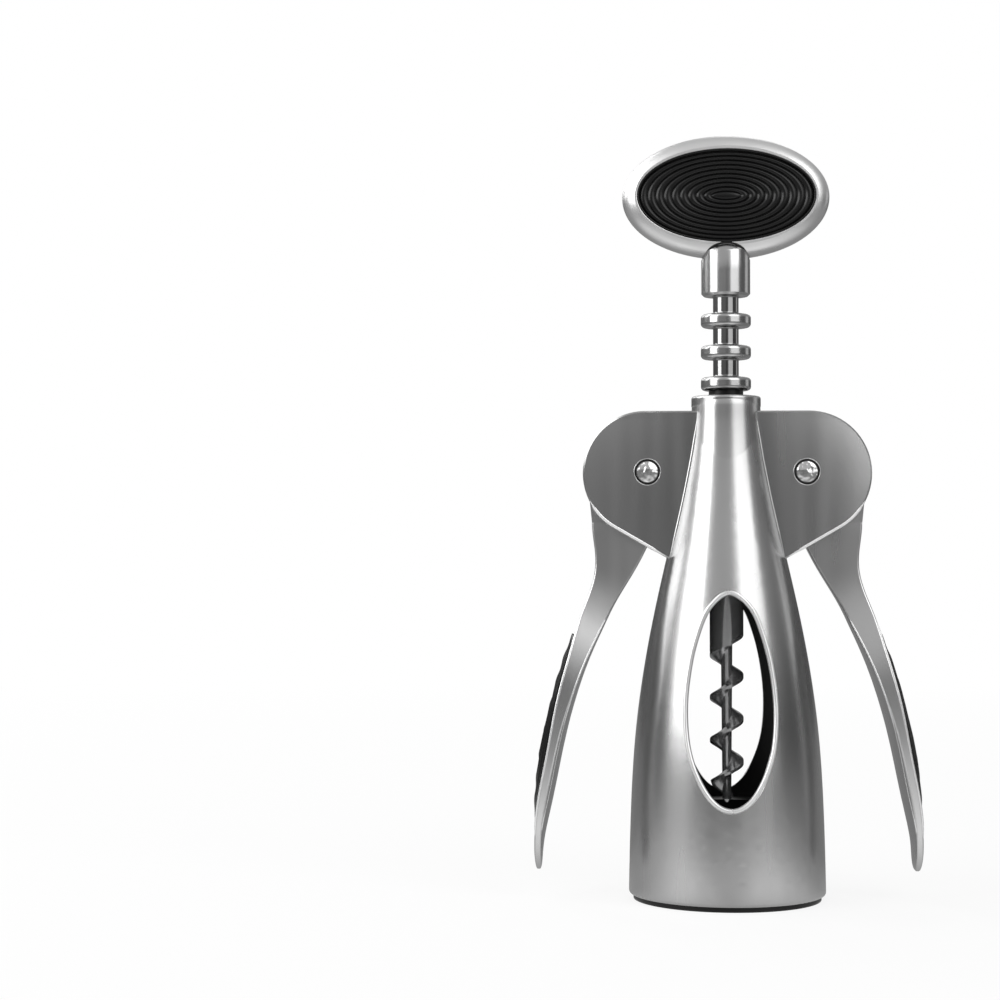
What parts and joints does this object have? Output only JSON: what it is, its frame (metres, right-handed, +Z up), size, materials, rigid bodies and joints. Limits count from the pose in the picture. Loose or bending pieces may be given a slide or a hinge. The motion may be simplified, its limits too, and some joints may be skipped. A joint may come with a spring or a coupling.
{
  "type": "wing corkscrew",
  "caption": "Wing corkscrew: hollow bell body with a pointed-oval window, geared lever arms, round rack, oval turning handle and a right-handed worm.",
  "frame": {"origin": "centre of the foot ring's underside, on the screw's axis", "axes": "+Z up along the screw's axis, X towards the right lever, -Y towards the front window"},
  "size_m": [0.098, 0.0488, 0.1904],
  "materials": {
    "body_metal": "satin nickel plate",
    "lever_metal": "satin nickel plate",
    "handle_metal": "satin nickel plate",
    "rack_metal": "satin nickel plate, turned",
    "pin_metal": "polished",
    "worm_steel": "black nickel plate",
    "guide_plastic": "moulded black",
    "bush_plastic": "moulded black",
    "grip_rubber": "matte moulded rubber"
  },
  "bodies": {
    "frame": {"bell_frame": "body_metal", "bottle_guide": "guide_plastic", "left_pivot_pin": "pin_metal", "right_pivot_pin": "pin_metal", "left_pivot_cap": "pin_metal", "right_pivot_cap": "pin_metal"},
    "guide_bush": {"guide_bush": "bush_plastic"},
    "screw_assembly": {"rack_shaft": "rack_metal", "worm": "worm_steel", "worm_pin": "pin_metal", "handle_ring": "handle_metal", "handle_stud": "pin_metal", "front_grip_pad": "grip_rubber", "rear_grip_pad": "grip_rubber"},
    "left_lever": {"left_lever": "lever_metal", "left_lever_pad": "grip_rubber"},
    "right_lever": {"right_lever": "lever_metal", "right_lever_pad": "grip_rubber"}
  },
  "joints": [
    {"name": "handle_spin", "type": "hinge", "parent": "frame", "child": "guide_bush", "pos_m": [0, 0, 0.12], "axis": [0, 0, 1], "continuous": true},
    {"name": "rack_slide", "type": "slide", "parent": "guide_bush", "child": "screw_assembly", "axis": [0, 0, -1], "range_m": [0, 0.034]},
    {"name": "left_lever_hinge", "type": "hinge", "parent": "frame", "child": "left_lever", "pos_m": [-0.01975, 0, 0.106], "axis": [0, 1, 0], "range_deg": [0, 135.5]},
    {"name": "right_lever_hinge", "type": "hinge", "parent": "frame", "child": "right_lever", "pos_m": [0.01975, 0, 0.106], "axis": [0, -1, 0], "range_deg": [0, 135.5]}
  ],
  "couplings": [
    {"joint": "left_lever_hinge", "follows": "rack_slide", "rad_per_m": 69.444},
    {"joint": "right_lever_hinge", "follows": "rack_slide", "rad_per_m": 69.444}
  ]
}
